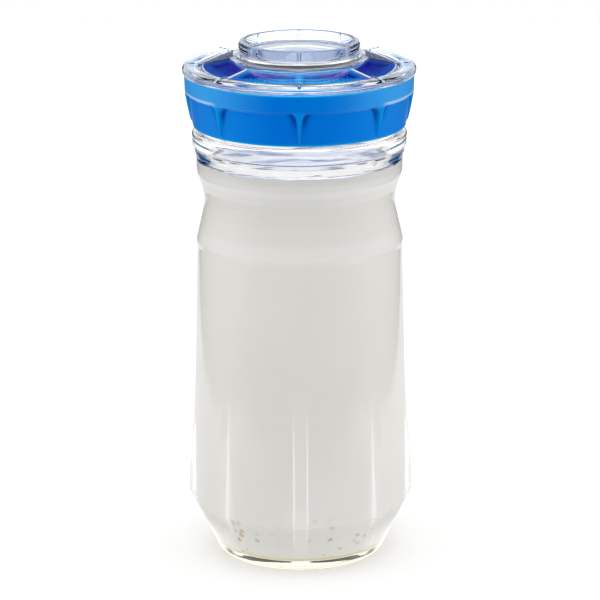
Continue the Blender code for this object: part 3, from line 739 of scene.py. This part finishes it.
screwRing = {
    "corners": [
        (47.0, 235.2, 0.3), (54.2, 235.2, 0.7), (54.0, 227.4, 0.9), (52.3, 226.3, 0.7), (50.4, 210.9, 0.6),
        (48.8, 210.9, 0.3), (48.8, 232.9, 0.3), (47.0, 232.9, 0.3)],
    "finProud": [(211.9, 0), (213, 0.8), (218, 1.3), (223, 1.6), (226.0, 1.75), (227.9, 2.0)],
    "finWidth": [
        (211.9, 0.25), (217, 0.75), (221, 1.05), (224, 1.5), (225.6, 2.2), (227.3, 3.6), (228, 4.5)],
    "finReach": 53.95, "finTop": 227.9, "outside": 50,
    "scoop": [(211, 0), (214, 0.08), (219, 0.35), (223, 0.75), (225.6, 1.0), (226.6, 0.75), (227.4, 0)],
    "crest": [(211.9, 0.2), (214, 0.3), (222, 0.55), (226.5, 0.3), (228, 0)],
    "scoopReach": 4.6, "scoopDepth": 0.75,
}


def ringRelief(radius, height):
    if radius < screwRing["outside"] or height > screwRing["finTop"]:
        return 0, 0, 1
    proud = min(along(screwRing["finProud"], height), screwRing["finReach"] - radius)
    return max(0.0, proud), 0, along(screwRing["finWidth"], height)


# The scoop's share is also painted as shade beside the fins, and the crest table as a highlight along them
ringScoop = {
    "reach": screwRing["scoopReach"], "depth": screwRing["scoopDepth"],
    "share": beyond(screwRing["outside"], screwRing["scoop"]),
    "crest": beyond(screwRing["outside"], screwRing["crest"])}
ringMesh = turned(
    screwRing["corners"], blueRing, segments=480, crowding=0.8, edge=0.55, relief=ringRelief, scoop=ringScoop)
addPiece("screwRing", ringMesh, "ring", "screw_ring")
print("screw ring made")


# Strainer: eight slotted windows sunk between spokes. Its deck and the cover over it have a round landing,
# outside which they slope down in eight flats.

deck = {"height": 240.07, "landing": 32.5, "slope": 0.2}
strainer = {
    "corners": [
        (28.6, 240.07, 0.2), (32.5, 240.07, 1), (33.5, 239.87, 0.2), (33.5, 237.67, 0.2), (42.9, 235.79, 0.2),
        (42.9, 237.99, 0.2), (44.8, 237.61, 0.8), (44.8, 232.6, 0.3), (48.4, 232.6, 0.3), (48.4, 231.1, 0.3),
        (42.7, 231.1, 0.3), (42.7, 226, 0.3), (41.3, 226, 0.3), (41.3, 231.85, 0.3), (43.3, 232.6, 0.3),
        (43.3, 234.21, 0.5), (32.0, 236.37, 0.5), (32.0, 238.57, 0.5), (28.6, 238.57, 0.2)],
    "spokeWidth": 3.4, "spokeDrop": 0.25, "windowRadii": (33.4, 43), "windowDepth": 2.3,
    "shadeRadii": (33.2, 43.1), "shadeBelow": 0.3,
    "flatRadii": (28.5, 44.9), "flatDepth": 4.2, "flatPull": [(28.5, 0), (32.2, 1), (43.2, 1), (45, 0)],
    "slots": {"groups": 8, "slots": 12, "spread": math.radians(18.0), "inner": 34.5, "outer": 41.9,
              "width": 0.9, "low": 233.0, "high": 242.0},
}


def deckTop(radius):
    return deck["height"] - deck["slope"] * max(0.0, radius - deck["landing"])


def strainerFlats(radius, height):
    # Share by which a row is drawn in to the flats' shape, and whether it slopes
    if not within(radius, strainer["flatRadii"]) or height < deckTop(radius) - strainer["flatDepth"]:
        return 0, 0
    return along(strainer["flatPull"], radius), 1


def strainerRelief(radius, height):
    # The spokes lift the sunk windows' floor nearly to the deck
    top = deckTop(radius) - strainer["spokeDrop"]
    sunk = deckTop(radius) - strainer["windowDepth"] < height < top
    lift = top - height if sunk and within(radius, strainer["windowRadii"]) else 0
    return 0, lift, strainer["spokeWidth"] / 2


def windowShade(radius, height):
    below = height < deckTop(radius) - strainer["shadeBelow"]
    return 1 if below and within(radius, strainer["shadeRadii"]) else 0


strainerMesh = turned(
    strainer["corners"], blueStrainer, segments=384, crowding=0.75, edge=0.12, relief=strainerRelief,
    scoop={**noScoop, "share": windowShade, "reach": 60},
    flats={"start": deck["landing"], "slope": deck["slope"], "rows": strainerFlats})
strainerMesh = slotted(strainerMesh, blueStrainer, strainer["slots"])
addPiece("strainerDeck", strainerMesh, "strainer_insert", "strainer")
print("strainer made")


# Clear cover, squeezer and cap

cover = {
    "corners": [
        (26.5, 242.37, 0.4), (32.5, 242.37, 0.8), (47.6, 239.35, 0.2), (48.3, 239.0, 0.3),
        (49.2, 239.7, 0.35), (53.85, 239.7, 1.1), (55.1, 238.1, 1.1), (55.1, 236.55, 1.1),
        (54.4, 235.5, 0.3), (52.4, 235.5, 0.3), (52.4, 237.0, 0.67), (46.7, 236.6, 0.3),
        (46.7, 233.6, 0.3), (45.2, 233.6, 0.3), (45.2, 237.83, 0.3), (32.5, 240.37, 2),
        (28.0, 240.37, 0.3), (28.0, 236.97, 0.3), (24.6, 236.97, 0.3), (24.6, 238.47, 0.3),
        (26.5, 238.47, 0.3)],
    "markTop": 239.98, "markWidth": 1.2, "rimRadii": (47.3, 54.3), "rimLow": 238.9,
    "underRadii": (28, 45.3), "underGap": 0.4, "slopeLow": 238.95, "flatEnd": 47.9, "dropEnd": 47.7,
    "flatPull": [(26.5, 0), (28.5, 0), (32.2, 1), (32.8, 1), (46.5, 0), (48, 0)],
}


def coverRelief(radius, height):
    # Eight slightly raised marks across the rim
    onRim = within(radius, cover["rimRadii"]) and height > cover["rimLow"]
    return 0, max(0.0, cover["markTop"] - height) if onRim else 0, cover["markWidth"] / 2


def coverFlats(radius, height):
    # Share by which a row is drawn in to the flats' shape, and whether it slopes
    under = within(radius, cover["underRadii"]) and height < deckTop(radius) + cover["underGap"]
    if not under and (height < cover["slopeLow"] or radius > cover["flatEnd"]):
        return 0, 0
    return along(cover["flatPull"], radius), 1 if radius < cover["dropEnd"] else 0


coverMesh = turned(
    cover["corners"], clearPlastic, segments=384, crowding=0.6, relief=coverRelief,
    flats={"start": deck["landing"], "slope": deck["slope"], "rows": coverFlats})
addPiece("clearCover", coverMesh, "cover", "clear_cover")

squeezer = {
    "corners": [
        (0, 241.77), (3.0, 241.77, 1.5), (14.0, 228.77, 1), (22.6, 228.77, 2), (22.6, 239.97, 0.3),
        (26.2, 239.97, 0.3), (26.2, 238.77, 0.3), (24.3, 238.77, 0.3), (24.3, 227.07, 3.7),
        (10.1, 227.07, 1), (1.0, 235.77, 0.5), (0, 235.77)],
    "coneFoot": (14.0, 228.77), "coneFall": 11 / 13, "coneNear": 0.3,
    "flutes": 8, "fluteRadii": (2.9, 14), "fluteLow": 229.2, "fluteShare": 0.75,
    "fluteDepth": [(229.5, 0), (231, 1.3), (240.5, 0.5), (241.5, 0)],
    "drains": {"groups": 16, "slots": 4, "spread": math.radians(8.4), "inner": 15.4, "outer": 21.2,
               "width": 0.7, "low": 226.0, "high": 229.5},
}


def squeezerRelief(radius, height):
    # Flutes pressed into the cone, whose radius falls evenly from its foot to its tip
    footRadius, footHeight = squeezer["coneFoot"]
    offCone = abs(footRadius - (height - footHeight) * squeezer["coneFall"] - radius)
    fluted = within(radius, squeezer["fluteRadii"]) and height > squeezer["fluteLow"]
    if not fluted or offCone > squeezer["coneNear"]:
        return 0, 0, 1
    halfWidth = squeezer["fluteShare"] * math.pi * radius / squeezer["flutes"]
    return -along(squeezer["fluteDepth"], height), 0, halfWidth


squeezerMesh = turned(
    squeezer["corners"], blueCup, closed=False, repeats=squeezer["flutes"], edge=1.0, relief=squeezerRelief)
squeezerMesh = slotted(squeezerMesh, blueCup, squeezer["drains"])
addPiece("squeezerCup", squeezerMesh, "squeezer_cup", "squeezer")

cap = {
    "corners": [
        (0, 245.17), (25.44, 245.17, 0.6), (26.2, 250.67, 0.6), (28.1, 250.67, 0.6), (28.5, 245.05, 0.5),
        (31.2, 244.6, 0.15), (31.2, 242.67, 0.1), (28.2, 242.67, 0.1), (28.2, 244.9, 0.6),
        (25.5, 244.9, 0.6), (25.5, 243.4, 0.3), (24.6, 243.4, 0.3), (24.6, 240.27, 0.3), (21.7, 240.27, 0.3),
        (21.7, 243.17, 0.6), (9.6, 243.17, 0.2), (9.6, 242.77, 0.2), (0, 242.77)],
    "ribProud": 0.4, "ribWidth": 1.4, "ribHeights": (245.5, 250.0), "wallRadius": 28.0,
}


def capRelief(radius, height):
    onWall = radius > cap["wallRadius"] and within(height, cap["ribHeights"])
    return cap["ribProud"] if onWall else 0, 0, cap["ribWidth"] / 2


capMesh = turned(cap["corners"], clearPlastic, closed=False, crowding=0.6, relief=capRelief)
addPiece("ventCap", capMesh, "cap", "vent_cap")
print("lid made")


# Camera, floor and light

view = {"place": (0, -1.248, 0.4906), "dip": 16.385, "roll": -0.2, "lens": 161.91, "sensor": 36}
camera = bpy.data.objects.new("camera", bpy.data.cameras.new("camera"))
bpy.context.scene.collection.objects.link(camera)
tilt = Matrix.Rotation(math.radians(90 - view["dip"]), 3, "X")
roll = Matrix.Rotation(math.radians(view["roll"]), 3, "Z")
camera.location = view["place"]
camera.rotation_euler = (tilt @ roll).to_euler()
camera.data.lens = view["lens"]
camera.data.sensor_width = view["sensor"]
bpy.context.scene.camera = camera


def rayKinds(nodes):
    # Wires that are 1 for rays straight from the camera, off a gloss, through something clear, and off
    # something matt
    rays = nodes.tree.nodes.new("ShaderNodeLightPath")
    camera, glossy, clear, matt = (Wire(nodes, rays.outputs[name]) for name in (
        "Is Camera Ray", "Is Glossy Ray", "Is Transmission Ray", "Diffuse Depth"))
    return camera, glossy, clear.calc("MAXIMUM", isTrapped(nodes)), matt.calc("MINIMUM", 1.0)


table = {
    "radius": 1.4, "sides": 96, "colours": [(0.81, 0.81, 0.81), (0.83, 0.83, 0.83)], "mottleScale": 30.0,
    "side": (0.27, 0.33), "front": (-0.26, -0.12), "dark": (0.03, 0.03, 0.03),
    "glow": 0.22, "farGlow": 0.35, "farReach": (0.12, 0.5),
    "clearGlow": 0.75, "under": (0.045, 0.060), "underLift": 0.3, "mattLoss": 0.8,
}


def makeFloor():
    # A round pale floor. Gloss finds it pale round the object, with dark beside and before that. It glows a
    # little for the camera, and more for rays through what is clear and for gloss under the jar.
    material, nodes, place = newMaterial("pale floor")
    camera, glossy, clear, matt = rayKinds(nodes)
    spread = nodes.add("ShaderNodeVectorMath", {"operation": "LENGTH"}, {0: place}, "Value")
    under = 1 - nodes.step(spread, *table["under"])
    bright = clear.calc("MAXIMUM", glossy * under)
    bright = bright * (1 - matt * table["mattLoss"]) * (1 + under * table["underLift"])
    far = nodes.step(spread, *table["farReach"]) * table["farGlow"]
    strength = camera * (far + table["glow"]) + bright * (1 - camera) * table["clearGlow"]
    glow = nodes.add("ShaderNodeEmission", {}, {"Color": white, "Strength": strength})
    pale = nodes.mix(nodes.noise(place, table["mottleScale"]), *table["colours"])
    side = nodes.axis(place, "X").calc("ABSOLUTE")
    near = (1 - nodes.step(side, *table["side"])) * nodes.step(nodes.axis(place, "Y"), *table["front"])
    pale = nodes.mix(glossy * (1 - clear) * (1 - near), pale, table["dark"])
    base = nodes.add("ShaderNodeBsdfDiffuse", {}, {"Color": pale})
    shader = nodes.add("ShaderNodeAddShader", {}, {0: glow, 1: base})
    nodes.add("ShaderNodeOutputMaterial", {}, {"Surface": shader})
    turns = [math.tau * k / table["sides"] for k in range(table["sides"])]
    rim = [(table["radius"] * math.cos(a), table["radius"] * math.sin(a), 0) for a in turns]
    mesh = bpy.data.meshes.new("floor")
    mesh.from_pydata(rim, [], [range(table["sides"])])
    mesh.materials.append(material)
    floor = bpy.data.objects.new("floor", mesh)
    bpy.context.scene.collection.objects.link(floor)


makeFloor()

# Limits of the white and dark fields round the object, as heights and sides of a unit direction
studio = {
    "backdropFoot": (0.02, 0.08), "backdropTop": (0.28, 0.31), "backdropReach": (0.75, 0.95),
    "cardSide": (0.06, 0.09), "cardTop": (0.41, 0.43),
    "gapReach": (0.4, 0.6), "gapTop": (0.62, 0.72), "overhead": (0.66, 0.76),
    "dark": 0.01, "lowFill": 1.5, "highFill": 0.5, "fillRise": (0.2, 0.55), "aim": (0, 0, 0.12),
}


def makeWorld():
    # Seen straight on the background is white. Gloss finds a white backdrop low behind the object and a white
    # ceiling, and clear pieces a white room with a dark gap between the two. A narrow card carries the
    # backdrop up in the middle. Matt surfaces get light from all sides, most of it from low down.
    world = bpy.data.worlds.new("studio")
    world.use_nodes = True
    world.node_tree.nodes.clear()
    nodes = Nodes(world.node_tree)
    camera, glossy, clear, matt = rayKinds(nodes)
    direction = nodes.add("ShaderNodeTexCoord", {}, {}, "Generated")
    aside = nodes.axis(direction, "X").calc("ABSOLUTE")
    behind = nodes.axis(direction, "Y")
    rise = nodes.axis(direction, "Z")
    card = (1 - nodes.step(aside, *studio["cardSide"])) * (1 - nodes.step(rise, *studio["cardTop"]))
    above = nodes.step(rise, *studio["backdropTop"]) * (1 - card)
    gap = above * (1 - nodes.step(rise, *studio["gapTop"])) * nodes.step(behind, *studio["gapReach"])
    backdrop = nodes.step(rise, *studio["backdropFoot"]) * (1 - above)
    backdrop = backdrop * nodes.step(behind, *studio["backdropReach"])
    mirrored = backdrop + nodes.step(rise, *studio["overhead"])
    mirrored = mirrored * (1 - studio["dark"]) + studio["dark"]
    through = 1 - gap * (1 - studio["dark"])
    seen = camera + (1 - camera) * (1 - matt) * (clear * through + (1 - clear) * glossy * mirrored)
    direct = (camera + (1 - matt) * (glossy + clear).calc("MINIMUM", 1.0)).calc("MINIMUM", 1.0)
    fill = nodes.step(rise, *studio["fillRise"]) * (studio["highFill"] - studio["lowFill"])
    fill = fill + studio["lowFill"]
    strength = seen + (1 - direct) * fill
    background = nodes.add("ShaderNodeBackground", {}, {"Color": white, "Strength": strength})
    nodes.add("ShaderNodeOutputWorld", {}, {"Surface": background})
    bpy.context.scene.world = world


makeWorld()


def addLamp(name, place, size, power, mirrored=True):
    lamp = bpy.data.lights.new(name, "AREA")
    lamp.shape = "RECTANGLE"
    lamp.size, lamp.size_y = size
    lamp.energy = power
    holder = bpy.data.objects.new(name, lamp)
    holder.location = place
    holder.visible_camera = False
    holder.visible_glossy = mirrored
    holder.rotation_euler = (Vector(studio["aim"]) - Vector(place)).to_track_quat("-Z", "Y").to_euler()
    bpy.context.scene.collection.objects.link(holder)


addLamp("overhead", place=(0.0, 0.1, 1.3), size=(1.2, 1.2), power=7.0)
addLamp("left", place=(-0.95, -0.1, 0.5), size=(0.9, 1.0), power=2.0, mirrored=False)
addLamp("right", place=(0.95, -0.1, 0.5), size=(0.9, 1.0), power=2.0, mirrored=False)
bpy.context.scene.view_settings.view_transform = "Standard"
print("studio made")
